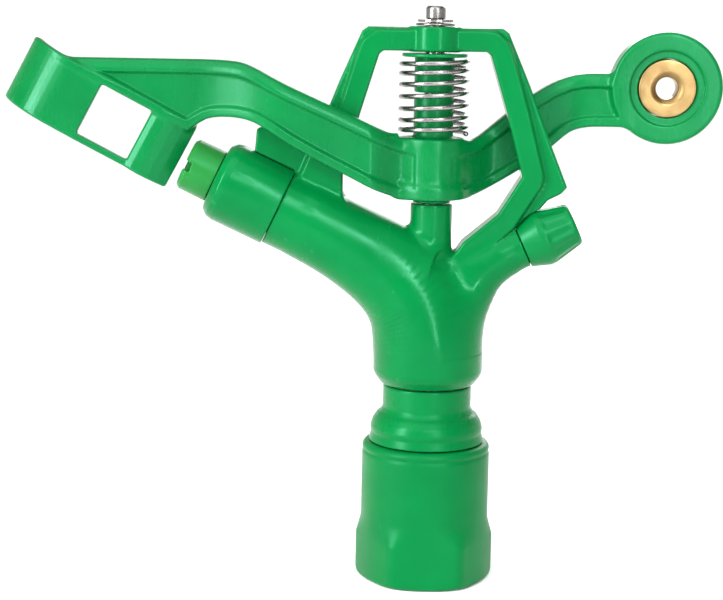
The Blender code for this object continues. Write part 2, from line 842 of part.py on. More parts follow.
def make_drive_arm():
    low, high = HUB_Z
    hub = [
        (0.0, low),
        (HUB_R + 0.5, low),
        (HUB_R + 0.5, low + 2.2),
        (HUB_R, low + 2.6),
        (HUB_R, high),
        (4.9, high),
        (4.9, SPIGOT_TOP_Z - 0.3),
        (4.6, SPIGOT_TOP_Z),
        (0.0, SPIGOT_TOP_Z),
    ]
    half = 3.6
    rim = [
        (0.0, WEIGHT_Y - half),
        (WEIGHT_RIM_R - 0.7, WEIGHT_Y - half),
        (WEIGHT_RIM_R, WEIGHT_Y - half + 0.7),
        (WEIGHT_RIM_R, WEIGHT_Y + half - 0.7),
        (WEIGHT_RIM_R - 0.7, WEIGHT_Y + half),
        (0.0, WEIGHT_Y + half),
    ]
    recess = 0.8
    seat = [
        (0.0, WEIGHT_Y - half - 1.0),
        (9.4, WEIGHT_Y - half - 1.0),
        (9.0, WEIGHT_Y - half + recess),
        (WEIGHT_R + GAP, WEIGHT_Y - half + recess),
        (WEIGHT_R + GAP, WEIGHT_Y + half - recess),
        (9.0, WEIGHT_Y + half - recess),
        (9.4, WEIGHT_Y + half + 1.0),
        (0.0, WEIGHT_Y + half + 1.0),
    ]
    return shaped(
        "drive_arm",
        plastic("arm_green"),
        turned(hub, SMALL_ROUND),
        ("UNION", arm_beam(LEFT_STATIONS, left_offset)),
        ("UNION", arm_beam(RIGHT_STATIONS, right_offset)),
        ("UNION", spoon_roof()),
        ("UNION", spoon_plate()),
        ("UNION", upright_turned(WEIGHT_CENTRE, rim)),
        ("DIFFERENCE", window_cutter()),
        ("DIFFERENCE", upright_turned(WEIGHT_CENTRE, seat, SMALL_ROUND)),
        ("DIFFERENCE", rod(HUB_BORE_R, low - 1.0, SPIGOT_TOP_Z + 1.0, BORE_ROUND)),
    )


def make_counterweight_insert():
    half = 3.4
    chamfer = 0.9
    profile = [
        (WEIGHT_HOLE_R, WEIGHT_Y - half + chamfer),
        (WEIGHT_HOLE_R + chamfer, WEIGHT_Y - half),
        (WEIGHT_R, WEIGHT_Y - half),
        (WEIGHT_R, WEIGHT_Y + half),
        (WEIGHT_HOLE_R + chamfer, WEIGHT_Y + half),
        (WEIGHT_HOLE_R, WEIGHT_Y + half - chamfer),
    ]
    brass = material("weight_brass", (0.86, 0.62, 0.28), 0.3, 1.0)
    insert = upright_turned(WEIGHT_CENTRE, profile, SMALL_ROUND)
    return new_object("counterweight_insert", insert, brass)


def make_arm_pieces():
    bush_r = HUB_BORE_R - GAP
    lower = ring(PIN_HOLE_R, bush_r, HUB_Z[0] + GAP, HUB_Z[0] + 8.3, BORE_ROUND)
    upper = ring(PIN_HOLE_R, bush_r, SPIGOT_TOP_Z - 8.3, SPIGOT_TOP_Z - GAP, BORE_ROUND)
    white = (0.78, 0.77, 0.73)
    return [
        make_drive_arm(),
        new_object("lower_arm_bush", lower, material("lower_bush_white", white, 0.4)),
        new_object("upper_arm_bush", upper, material("upper_bush_white", white, 0.4)),
        make_counterweight_insert(),
    ]


# ---- the whole sprinkler ---------------------------------------------------------------


def main():
    for old in list(bpy.data.objects):
        bpy.data.objects.remove(old)
    base = empty("base_frame")
    head_axis = empty("head_axis", NECK_TOP_Z)
    arm_axis = empty("arm_axis", HUB_Z[0])
    hang([head_axis], base)
    hang([arm_axis], head_axis)
    hang(make_inlet_pieces(), base)
    hang(make_head_pieces(), head_axis)
    hang(make_arm_pieces(), arm_axis)


main()
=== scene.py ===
"""Looks of the impact sprinkler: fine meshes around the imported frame, materials, light and camera.

Shapes are worked out in millimetres, in the frame's axes, and made in metres. Moulded pieces are
signed distance fields, so that joins get mould fillets and edges get a radius. Turned pieces are
lathed profiles with softened corners, given as (radius, height) points.
"""

import json
from math import cos, pi, radians, sin

import bmesh
import bpy
import numpy as np
from mathutils import Matrix, Vector


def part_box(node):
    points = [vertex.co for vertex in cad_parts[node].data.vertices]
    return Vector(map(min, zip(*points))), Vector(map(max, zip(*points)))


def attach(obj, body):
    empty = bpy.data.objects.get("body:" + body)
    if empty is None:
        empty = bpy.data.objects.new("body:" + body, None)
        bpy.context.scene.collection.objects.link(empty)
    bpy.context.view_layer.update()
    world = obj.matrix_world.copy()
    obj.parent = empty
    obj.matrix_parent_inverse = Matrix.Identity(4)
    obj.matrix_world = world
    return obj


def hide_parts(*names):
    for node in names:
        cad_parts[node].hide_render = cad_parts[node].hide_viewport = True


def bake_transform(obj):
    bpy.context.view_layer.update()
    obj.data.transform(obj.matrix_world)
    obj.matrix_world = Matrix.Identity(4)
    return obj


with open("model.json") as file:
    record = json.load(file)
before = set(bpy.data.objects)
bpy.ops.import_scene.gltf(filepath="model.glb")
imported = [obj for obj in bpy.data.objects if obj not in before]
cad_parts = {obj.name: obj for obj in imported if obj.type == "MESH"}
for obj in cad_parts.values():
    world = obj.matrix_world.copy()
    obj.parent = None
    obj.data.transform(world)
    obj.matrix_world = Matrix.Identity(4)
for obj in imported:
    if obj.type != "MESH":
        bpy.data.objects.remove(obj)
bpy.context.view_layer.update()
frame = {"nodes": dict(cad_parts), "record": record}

MM = 0.001
GRID = 0.4  # spacing of the grid on which a moulded piece is found
SEGMENTS = 96  # sides of a lathed piece
SLAB = 24  # grid planes sampled at a time, which bounds the memory used


# ---- fields: joining, cutting and rounding -------------------------------------------------


def join(a, b, blend=1.0):
    """The union of two fields, with a fillet about as wide as blend."""
    share = np.clip(0.5 + 0.5 * (b - a) / blend, 0.0, 1.0)
    return b + (a - b) * share - blend * share * (1.0 - share)


def common(a, b, edge=0.8):
    """What two fields share, with a rounded edge."""
    return -join(-a, -b, edge)


def cut(a, b, edge=0.5):
    """The first field without the second, with a rounded edge."""
    return -join(-a, b, edge)


def ramp(value, low, high):
    """0 below low, 1 above high, and smooth between."""
    share = np.clip((value - low) / (high - low), 0.0, 1.0)
    return share * share * (3.0 - 2.0 * share)


def polygon(px, py, points):
    """Signed distance in a plane from a closed outline."""
    nearest = None
    sign = 1.0
    for (ax, ay), (bx, by) in zip(points, points[1:] + points[:1]):
        ex, ey = bx - ax, by - ay
        wx, wy = px - ax, py - ay
        share = np.clip((wx * ex + wy * ey) / (ex * ex + ey * ey), 0.0, 1.0)
        distance = (wx - ex * share) ** 2 + (wy - ey * share) ** 2
        nearest = distance if nearest is None else np.minimum(nearest, distance)
        above, below = py >= ay, py < by
        left = ex * wy > ey * wx
        crossed = (above & below & left) | ~(above | below | left)
        sign = np.where(crossed, -sign, sign)
    return sign * np.sqrt(nearest)


def plate(x, y, z, outline, low, high, edge=0.8):
    """An (x, z) outline as a plate from y = low to high."""
    return common(polygon(x, z, outline), np.abs(y - (low + high) / 2) - (high - low) / 2, edge)


def rod(across, along, radius, low, high, edge=0.6):
    """A round bar: across is the distance from its axis and along the place on it."""
    return common(across - radius, np.abs(along - (low + high) / 2) - (high - low) / 2, edge)


def rounded(points, closed=True, steps=6):
    """A smooth curve through the points (Catmull-Rom)."""
    count = len(points)
    curve = []
    for i in range(count if closed else count - 1):
        if closed:
            quad = [points[(i + k) % count] for k in (-1, 0, 1, 2)]
        else:
            quad = [points[min(max(i + k, 0), count - 1)] for k in (-1, 0, 1, 2)]
        p = [np.array(q, float) for q in quad]
        for k in range(steps):
            t = k / steps
            a = 2.0 * p[1] + (p[2] - p[0]) * t
            b = (2.0 * p[0] - 5.0 * p[1] + 4.0 * p[2] - p[3]) * t * t
            c = (3.0 * p[1] - p[0] - 3.0 * p[2] + p[3]) * t**3
            curve.append(tuple((a + b + c) / 2.0))
    if not closed:
        curve.append(tuple(points[-1]))
    return curve


# ---- from a field to a mesh ----------------------------------------------------------------


def sampled(field, low, high, step):
    """The field's values on a grid over a box."""
    axes = [np.arange(a, b + step, step) for a, b in zip(low, high)]
    y, z = axes[1][None, :, None], axes[2][None, None, :]
    values = np.empty([len(a) for a in axes], np.float32)
    for start in range(0, len(axes[0]), SLAB):
        x = axes[0][start : start + SLAB][:, None, None]
        values[start : start + SLAB] = field(x, y, z)
    return values


def net(values, low, step):
    """Surface nets: a point in each cell that the surface crosses, and quads between them."""
    inside = values < 0.0
    shape = np.array(values.shape) - 1
    corners = [np.array((i, j, k)) for i in (0, 1) for j in (0, 1) for k in (0, 1)]

    def at(grid, corner):
        i, j, k = corner
        return grid[i : i + shape[0], j : j + shape[1], k : k + shape[2]]

    filled = sum(at(inside, c).astype(np.int8) for c in corners)
    cells = np.argwhere((filled > 0) & (filled < 8))
    number = np.full(shape, -1, np.int64)
    number[tuple(cells.T)] = np.arange(len(cells))
    total = np.zeros((len(cells), 3))
    hits = np.zeros(len(cells))
    for a in corners:
        for axis in range(3):
            if a[axis]:
                continue
            b = a.copy()
            b[axis] = 1
            va = values[tuple((cells + a).T)].astype(float)
            vb = values[tuple((cells + b).T)].astype(float)
            crossed = (va < 0.0) != (vb < 0.0)
            share = va[crossed] / (va[crossed] - vb[crossed])
            total[crossed] += a + share[:, None] * (b - a)
            hits += crossed
    points = (cells + total / hits[:, None]) * step + np.array(low)
    quads = []
    for axis in range(3):
        u, v = [np.eye(3, dtype=int)[k] for k in ((axis + 1) % 3, (axis + 2) % 3)]
        first = np.take(inside, range(values.shape[axis] - 1), axis)
        second = np.take(inside, range(1, values.shape[axis]), axis)
        edges = np.argwhere(first != second)
        inner = (edges @ u > 0) & (edges @ v > 0)
        inner &= (edges @ u < shape @ u) & (edges @ v < shape @ v)
        edges = edges[inner]
        around = [number[tuple((edges - d).T)] for d in (u + v, v, 0 * u, u)]
        faces = np.stack(around, 1)
        flipped = ~first[tuple(edges.T)]
        faces[flipped] = faces[flipped][:, ::-1]
        quads.append(faces)
    return points, np.concatenate(quads)


def settled(field, points, limit):
    """Moves the points onto the surface, along the field's slope."""
    start = points.copy()
    for _ in range(3):
        here = field(*points.T)
        slope = slope_at(field, points, 0.02)
        size = np.maximum((slope**2).sum(1), 0.05)
        points = points - (here / size)[:, None] * slope
        away = points - start
        length = np.maximum(np.linalg.norm(away, axis=1), 1e-9)
        points = start + away * np.minimum(1.0, limit / length)[:, None]
    return points


def slope_at(field, points, nudge):
    """The field's slope at each point, by central differences."""
    sides = []
    for step in np.eye(3) * nudge:
        ahead, behind = (points + step).T, (points - step).T
        sides.append(field(*ahead) - field(*behind))
    return np.stack(sides, 1) / (2.0 * nudge)


def moulded(name, field, low, high, step=GRID):
    """The surface on which a field is zero, shaded by the field's own slope."""
    points, quads = net(sampled(field, low, high, step), low, step)
    points = settled(field, points, 0.9 * step)
    mesh = bpy.data.meshes.new(name)
    mesh.from_pydata((points * MM).tolist(), [], quads.tolist())
    made = piece(name, mesh)
    normals = slope_at(field, points, 0.8 * step)
    normals /= np.maximum(np.linalg.norm(normals, axis=1), 1e-9)[:, None]
    mesh.normals_split_custom_set_from_vertices(normals.tolist())
    return made


# ---- lathed and swept pieces ---------------------------------------------------------------


def piece(name, mesh):
    """A smooth object around a mesh."""
    mesh.shade_smooth()
    made = bpy.data.objects.new(name, mesh)
    bpy.context.scene.collection.objects.link(made)
    return made


def softened(profile, reach, steps=4):
    """Rounds each corner of a closed profile, up to reach along its two sides."""
    made = []
    count = len(profile)
    for i, corner in enumerate(profile):
        corner = Vector(corner)
        sides = [Vector(profile[i - 1]) - corner, Vector(profile[(i + 1) % count]) - corner]
        if corner.x < 1e-6:
            made.append(corner)
            continue
        a, b = [corner + s.normalized() * min(reach, 0.45 * s.length) for s in sides]
        for k in range(steps + 1):
            t = k / steps
            made.append(a * (1 - t) ** 2 + corner * 2 * t * (1 - t) + b * t * t)
    return made


def lathe(name, profile, reach=0.3, matrix=None, segments=SEGMENTS):
    """A (radius, z) profile turned about Z, with softened corners, in millimetres."""
    ring = softened(profile, reach)
    mesh = bmesh.new()
    rows = []
    for k in range(segments):
        turn = 2 * pi * k / segments
        rows.append([mesh.verts.new((p.x * cos(turn), p.x * sin(turn), p.y)) for p in ring])
    for row, after in zip(rows, rows[1:] + rows[:1]):
        for i in range(len(ring)):
            j = (i + 1) % len(ring)
            if ring[i].x < 1e-6 and ring[j].x < 1e-6:
                continue
            mesh.faces.new((row[i], row[j], after[j], after[i]))
    bmesh.ops.remove_doubles(mesh, verts=mesh.verts, dist=1e-5)
    bmesh.ops.recalc_face_normals(mesh, faces=mesh.faces)
    if matrix:
        bmesh.ops.transform(mesh, matrix=matrix, verts=mesh.verts)
    bmesh.ops.scale(mesh, vec=(MM, MM, MM), verts=mesh.verts)
    data = bpy.data.meshes.new(name)
    mesh.to_mesh(data)
    mesh.free()
    made = piece(name, data)
    data.set_sharp_from_angle(angle=radians(50.0))
    return made


def wire(name, path, radius, sides=12):
    """A round wire along a path of points, with domed ends."""
    path = [Vector(p) for p in path]
    mesh = bmesh.new()
    rings = []
    across = Vector((0.0, 0.0, 1.0))
    for i, point in enumerate(path):
        heading = (path[min(i + 1, len(path) - 1)] - path[max(i - 1, 0)]).normalized()
        across = (across - heading * across.dot(heading)).normalized()
        up = heading.cross(across)
        ring = []
        for k in range(sides):
            turn = 2 * pi * k / sides
            ring.append(mesh.verts.new(point + radius * (cos(turn) * across + sin(turn) * up)))
        rings.append(ring)
    for first, second in zip(rings, rings[1:]):
        for k in range(sides):
            j = (k + 1) % sides
            mesh.faces.new((first[k], first[j], second[j], second[k]))
    for ring, end, before in ((rings[0], path[0], path[1]), (rings[-1], path[-1], path[-2])):
        tip = mesh.verts.new(end + (end - before).normalized() * radius * 0.6)
        for k in range(sides):
            mesh.faces.new((ring[k], ring[(k + 1) % sides], tip))
    bmesh.ops.recalc_face_normals(mesh, faces=mesh.faces)
    bmesh.ops.scale(mesh, vec=(MM, MM, MM), verts=mesh.verts)
    data = bpy.data.meshes.new(name)
    mesh.to_mesh(data)
    mesh.free()
    return piece(name, data)


# ---- places shared by several pieces -------------------------------------------------------


def around(node, margin):
    """The lowest and highest corner of a CAD node, moved out by a margin."""
    low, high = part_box(node)
    return [v / MM - margin for v in low], [v / MM + margin for v in high]


RISE = radians(25.0)  # of the barrel and of the rear port
BARREL_PIVOT_Z = 75.7
REAR_PIVOT_Z = 73.9
BARREL_R = 9.65
BARREL_END = 41.8
SKIRT_R = 13.7
SKIRT_Z = 49.7
HUB_Z = 96.2
HUB_TOP_Z = 111.3
SPIGOT_TOP_Z = 121.6
WEIGHT_X, WEIGHT_Z, WEIGHT_Y = 57.3, 124.1, 4.0


def barrel_coordinates(x, z):
    """How far along the barrel's axis, and how high above it."""
    level = z - BARREL_PIVOT_Z
    return -x * cos(RISE) + level * sin(RISE), x * sin(RISE) + level * cos(RISE)


def rear_coordinates(x, z):
    """How far along the rear port's axis, and how high above it."""
    level = z - REAR_PIVOT_Z
    return x * cos(RISE) + level * sin(RISE), -x * sin(RISE) + level * cos(RISE)


def barrel_point(along, height):
    """The X and Z of a point beside the barrel's axis."""
    x = -along * cos(RISE) + height * sin(RISE)
    z = BARREL_PIVOT_Z + along * sin(RISE) + height * cos(RISE)
    return x, z


def barrel_matrix():
    """Local Z runs along the barrel's axis."""
    tilt = Matrix.Rotation(RISE - pi / 2, 4, "Y")
    return Matrix.Translation((0.0, 0.0, BARREL_PIVOT_Z)) @ tilt


def eye_matrix():
    """Local Z runs along +Y through the counterweight's centre."""
    return Matrix.Translation((WEIGHT_X, 0.0, WEIGHT_Z)) @ Matrix.Rotation(-pi / 2, 4, "X")


# ---- inlet socket --------------------------------------------------------------------------

SOCKET_R = 16.1
SOCKET_TOP_Z = 34.8
RIM_GROOVE_Z = 32.7
RIM_GROOVE_DEPTH = 0.3
FLAT_R = 15.75
CORNER_R = 18.4
HEXAGON_TOP_Z = 15.4
THREAD_MAJOR_R = 13.22
THREAD_DEPTH = 1.16
THREAD_PITCH = 1.814
THREAD_Z = (1.6, 16.2)
THREAD_END_Z = 19.6
WATERWAY_R = 9.6
COLLAR_SEAT_R = 12.6
COLLAR_SEAT_Z = 22.2


def socket_field(x, y, z):
    """A round socket on a wrench hexagon, threaded inside."""
    r = np.hypot(x, y)
    rim_line = RIM_GROOVE_DEPTH * np.exp(-(((z - RIM_GROOVE_Z) / 0.5) ** 2))
    barrel = rod(r + rim_line, z, SOCKET_R, -6.0, SOCKET_TOP_Z, 1.8)
    flats = None
    for k in range(3):
        turn = pi / 2 + k * pi / 3
        flat = np.abs(x * cos(turn) + y * sin(turn)) - FLAT_R
        flats = flat if flats is None else common(flats, flat, 1.6)
    foot = (r - CORNER_R + np.maximum(1.7 - z, 0.0) * 0.9) / 1.2
    shoulder = (r - CORNER_R + np.maximum(z - 10.6, 0.0) * 0.75) / 1.2
    hexagon = common(common(flats, foot, 0.8), shoulder, 2.4)
    hexagon = common(hexagon, z - HEXAGON_TOP_Z, 0.6)
    shape = common(join(barrel, hexagon, 1.6), -z, 0.8)
    phase = z / THREAD_PITCH - np.arctan2(y, x) / (2 * pi)
    crest = np.abs(2.0 * (phase - np.floor(phase)) - 1.0)
    crest = ramp(crest, 0.12, 0.88)
    low, high = THREAD_Z
    fade = ramp(z, low - 0.8, low + 1.6) * (1.0 - ramp(z, high - 1.2, high + 0.4))
    mouth = np.maximum(1.9 - 0.9 * z, 0.0)
    bore = (r - THREAD_MAJOR_R + THREAD_DEPTH * crest * fade - mouth) * 0.65
    shape = cut(shape, common(bore, z - THREAD_END_Z, 0.3), 0.3)
    shape = cut(shape, r - WATERWAY_R, 0.4)
    return cut(shape, common(r - COLLAR_SEAT_R, COLLAR_SEAT_Z - z, 0.3), 0.3)


# ---- sprinkler body ------------------------------------------------------------------------


def tapered_tube(x, y, z, path, radius_at):
    """Round sections about an (x, z) path; radius_at takes the share of the path covered."""
    nearest, radius = None, None
    runs = len(path) - 1
    for i, (a, b) in enumerate(zip(path, path[1:])):
        ex, ez = b[0] - a[0], b[1] - a[1]
        wx, wz = x - a[0], z - a[1]
        share = np.clip((wx * ex + wz * ez) / (ex * ex + ez * ez), 0.0, 1.0)
        distance = (wx - ex * share) ** 2 + (wz - ez * share) ** 2
        here = radius_at((i + share) / runs)
        if nearest is None:
            nearest, radius = distance, here
        else:
            radius = np.where(distance < nearest, here, radius)
            nearest = np.minimum(nearest, distance)
    return np.sqrt(nearest + y * y) - radius


def heel(x, y, z):
    """Up the riser axis inside the skirt, then over into the barrel, along a Bezier curve."""
    corners = ((0.0, 54.0), (0.0, 74.0), (-9.0, 77.0), barrel_point(33.0, 0.0))
    controls = [np.array(p) for p in corners]
    steps = 26
    path = []
    for i in range(steps + 1):
        t = i / steps
        rest = 1.0 - t
        weights = (rest**3, 3 * rest**2 * t, 3 * rest * t**2, t**3)
        path.append(sum(w * p for w, p in zip(weights, controls)))
    change = BARREL_R - 0.25 - SKIRT_R
    tube = tapered_tube(x, y, z, path, lambda share: SKIRT_R + change * ramp(share, 0.04, 1.0))
    return np.maximum(tube, 55.0 - z)


def rear_fillet(x, y, z):
    """Fills the corner between the underside of the rear port and the skirt."""
    path = rounded([(4.0, 64.5), (8.0, 71.0), (12.5, 77.0), (17.5, 81.6)], closed=False, steps=3)
    return tapered_tube(x, y, z, path, lambda share: 9.6 - 4.6 * ramp(share, -0.2, 1.0))


COLUMN_R = 5.2
COLUMN_Z = (74.0, 95.0)
BOSS_R = 6.3
BOSS_Z = (132.2, 138.2)
REAR_PORT_R = 5.3
REAR_PORT_END = 25.2
CAVITY_R = 11.3
CAVITY_TOP_Z = 57.6
STEM_SEAT_R = 8.3
STEM_SEAT_TOP_Z = 63.9
RISER_BORE_R = 6.0
BARREL_BORE_R = 7.4
REAR_BORE_R = 3.0
PIN_HOLE_R = 2.7
BRIDGE_OUTSIDE = [(33.3, 99.6), (29.4, 109.0), (23.3, 124.5), (17.9, 136.9), (16.4, 138.0)]
BRIDGE_INSIDE = [(22.0, 102.0), (18.0, 117.0), (13.6, 131.4), (12.6, 132.3)]
STRUT_OUTSIDE = [(31.9, 98.0), (28.6, 96.3), (22.0, 88.4), (8.0, 76.0)]
STRUT_INSIDE = [(4.0, 80.0), (7.8, 85.6), (16.3, 92.8)]


def bridge(x, y, z):
    """The frame round the arm. Its outer strip is set back, except beside the web."""
    mirrored = [(-a, b) for a, b in BRIDGE_OUTSIDE]
    loop = [(-34.0, 95.0)] + mirrored + BRIDGE_OUTSIDE[::-1] + STRUT_OUTSIDE + STRUT_INSIDE
    loop += BRIDGE_INSIDE + [(-a, b) for a, b in BRIDGE_INSIDE[::-1]] + [(-22.0, 90.0)]
    opening = [(-22.0, 90.0)] + STRUT_INSIDE + BRIDGE_INSIDE
    opening += [(-a, b) for a, b in BRIDGE_INSIDE[::-1]]
    from_opening = polygon(x, z, opening)
    stepped = np.maximum(ramp(z, 108.0, 113.0), ramp(x, -2.0, 2.0))
    half = 4.0 - 1.5 * ramp(from_opening, 4.9, 5.7) * stepped
    return common(polygon(x, z, loop), np.abs(y) - half, 0.9)


def web(x, y, z):
    """The thin plate that stands on the barrel, under the arm."""
    clear = 9.9
    outline = [
        barrel_point(BARREL_END - 0.4, 6.0),
        barrel_point(BARREL_END - 0.4, clear),
        barrel_point(52.9, clear),
        (-43.3, 112.6),
        (-41.8, 113.4),
        (-27.0, 111.6),
        (-27.0, 92.0),
    ]
    return plate(x, y, z, outline, -2.0, 2.0, 0.7)


def body_field(x, y, z):
    """Skirt, heel, barrel, rear port, column, web and bridge, less the rooms for other pieces."""
    r = np.hypot(x, y)
    along, height = barrel_coordinates(x, z)
    across = np.hypot(height, y)
    rear_along, rear_height = rear_coordinates(x, z)
    rear_across = np.hypot(rear_height, y)

    skirt_foot = [(0.0, SKIRT_Z), (11.7, SKIRT_Z), (13.3, 51.9), (SKIRT_R, 53.0)]
    skirt_foot += [(SKIRT_R, 58.0), (0.0, 58.0)]
    skirt = common(polygon(r, z, skirt_foot), SKIRT_Z - z, 0.5)
    shape = np.minimum(skirt, heel(x, y, z))
    barrel = rod(across, along, BARREL_R, 2.0, BARREL_END, 0.2)
    shape = join(shape, barrel, 1.2)
    rear = rod(rear_across, rear_along, REAR_PORT_R, 0.0, REAR_PORT_END, 0.2)
    shape = join(shape, join(rear, rear_fillet(x, y, z), 2.0), 3.0)
    column = rod(r, z, COLUMN_R, *COLUMN_Z, 0.5)
    shape = join(shape, column, 2.0)
    shape = join(shape, web(x, y, z), 1.2)
    shape = join(shape, bridge(x, y, z), 1.6)
    boss = rod(r, z, BOSS_R, *BOSS_Z, 0.5)
    shape = join(shape, boss, 0.6)

    nut_room = common(across - 10.25, 42.1 - along, 0.1)
    shape = cut(shape, nut_room, 0.1)
    arm_room = common(r - 7.6, np.abs(z - 106.0) - 10.4, 0.3)
    shape = cut(shape, arm_room, 0.3)
    widening = np.clip((rear_along - REAR_PORT_END) / 4.8, 0.0, 1.0)
    cap_r = 5.8 + 1.5 * widening - 1.9 * ramp(rear_along, 31.5, 39.0)
    cap_room = common(rear_across - cap_r, np.abs(rear_along - 33.0) - 7.8, 0.1)
    shape = cut(shape, cap_room, 0.1)
    shape = join(shape, rod(rear_across, rear_along, 4.4, 24.0, 32.5, 0.4), 0.2)

    cavity = common(r - CAVITY_R, z - CAVITY_TOP_Z, 0.4)
    shape = cut(shape, cavity, 0.3)
    stem_seat = common(r - STEM_SEAT_R, z - STEM_SEAT_TOP_Z, 0.2)
    shape = cut(shape, stem_seat, 0.2)
    shape = cut(shape, common(r - RISER_BORE_R, z - 76.5, 2.0), 0.3)
    shape = cut(shape, common(across - RISER_BORE_R, 1.0 - along, 1.0), 0.3)
    shape = cut(shape, common(across - BARREL_BORE_R, 18.0 - along, 0.6), 0.3)
    shape = cut(shape, common(rear_across - REAR_BORE_R, 2.0 - rear_along, 0.6), 0.3)
    pin_hole = common(r - PIN_HOLE_R, 85.0 - z, 0.2)
    return cut(shape, pin_hole, 0.25)


# ---- drive arm -----------------------------------------------------------------------------

# Stations of the arm's two halves: x, lower edge, upper edge.
LEFT_HALF = [
    (-2.0, 96.6, 110.6),
    (-7.5, 96.4, 111.3),
    (-14.0, 98.8, 114.1),
    (-21.0, 102.3, 117.3),
    (-28.0, 105.8, 120.4),
    (-35.0, 109.6, 123.5),
    (-39.5, 112.4, 125.7),
    (-43.5, 114.6, 127.7),
    (-47.0, 115.5, 128.9),
    (-51.0, 115.7, 129.3),
    (-55.5, 115.0, 129.4),
    (-60.1, 112.0, 129.4),
]
RIGHT_HALF = [
    (2.0, 96.6, 110.4),
    (7.5, 96.2, 110.3),
    (10.5, 96.9, 110.9),
    (14.0, 98.4, 113.3),
    (18.0, 100.7, 116.6),
    (22.0, 103.2, 119.8),
    (26.0, 106.0, 122.5),
    (30.0, 109.2, 124.9),
    (34.0, 112.6, 126.5),
    (37.5, 113.9, 127.2),
    (41.5, 114.3, 127.4),
    (48.0, 114.4, 127.4),
]
ARM_HALF = 3.0
ARM_OFFSET = 7.3
SPOON_Y = -1.0
HUB_HALF_X = 4.0
CRANK_RUN = 12.0
HUB_R = 6.5
FLANGE_R = 7.0
SLEEVE_R = 4.9
ARM_BORE_R = 4.1
EYE_R = 13.7
EYE_HALF = 3.6
RECESS_R = 9.2
INSERT_BORE_R = 7.25


def beam(x, y, z, stations, offset, crown, end=()):
    """Half of the arm: an I section, set off sideways from the hub's plane by offset(x).

    The upper flange is the taller one, and its sides lean in by crown towards its top. The end's
    points carry the outline on beyond the stations.
    """
    lower = rounded([(a, low) for a, low, _ in stations], closed=False, steps=3)
    upper = rounded([(a, high) for a, _, high in stations], closed=False, steps=3)
    ridge = sorted(upper)
    depth = np.interp(x, [a for a, _ in ridge], [b for _, b in ridge]) - z
    loop = lower + list(end) + upper[::-1]
    outline = polygon(x, z, loop)
    middle = offset(x)
    slope = (offset(x + 0.05) - middle) / 0.05
    inside = np.maximum(outline, polygon(x, z + 0.9, loop))
    half = ARM_HALF - 1.1 * (1.0 - ramp(inside, -3.0, -2.0))
    half = half - crown * np.clip(1.0 - depth / 3.2, 0.0, 1.0) ** 2
    return common(outline, (np.abs(y - middle) - half) / np.sqrt(1.0 + slope**2), 0.9)


def left_offset(x):
    """To the front of the left leg, then back towards the jet's plane at the spoon."""
    back = (ARM_OFFSET + SPOON_Y) * ramp(-x, 36.0, 60.0)
    return back - ARM_OFFSET * ramp(-x, HUB_HALF_X, HUB_HALF_X + CRANK_RUN)


def right_offset(x):
    """Behind the right leg, then forward again to the counterweight."""
    back = (WEIGHT_Y - ARM_OFFSET) * ramp(x, 34.0, 46.0)
    return back + ARM_OFFSET * ramp(x, HUB_HALF_X, HUB_HALF_X + CRANK_RUN)


SPOON_CORNER = (-66.0, 97.8)
SPOON_RISE = radians(28.0)
SPOON_HEIGHT = 17.0
PLATE = 2.4
CURL_START = 32.0
CURL_REACH = 14.3
CURL_DEPTH = 13.0
CURL_MIDDLE_Y = 8.6
WINDOW_MIDDLE = (18.2, 8.5)
WINDOW_HALF = 6.8
WINDOW_TOP = 15.3


def spoon_coordinates(x, z):
    """How far out along the spoon's lower edge, and how high above it."""
    dx, dz = x - SPOON_CORNER[0], z - SPOON_CORNER[1]
    u = -dx * cos(SPOON_RISE) + dz * sin(SPOON_RISE)
    v = dx * sin(SPOON_RISE) + dz * cos(SPOON_RISE)
    return u, v


def spoon_point(u, v):
    """The X and Z of a point out along the spoon and above its lower edge."""
    x = SPOON_CORNER[0] - u * cos(SPOON_RISE) + v * sin(SPOON_RISE)
    z = SPOON_CORNER[1] + u * sin(SPOON_RISE) + v * cos(SPOON_RISE)
    return x, z


def spoon_plan():
    """The spoon seen from above, as (u, y): a flat plate that curls back at its far end."""
    vane = [(0.0, -1.4), (2.5, -2.9), (5.0, -3.9), (7.5, -4.3), (9.5, -4.0), (11.4, -3.2)]
    near = vane + [(25.0, -4.4), (CURL_START, -4.4)]
    outer, inner = [], []
    for i in range(1, 13):
        turn = radians(6.0 * i)
        for side, set_back in ((outer, 0.0), (inner, PLATE)):
            reach, depth = CURL_REACH - set_back, CURL_DEPTH - set_back
            side.append((CURL_START + reach * sin(turn), CURL_MIDDLE_Y - depth * cos(turn)))
    back = [(u, y + PLATE) for u, y in reversed(near)]
    return near + outer + inner[::-1] + back


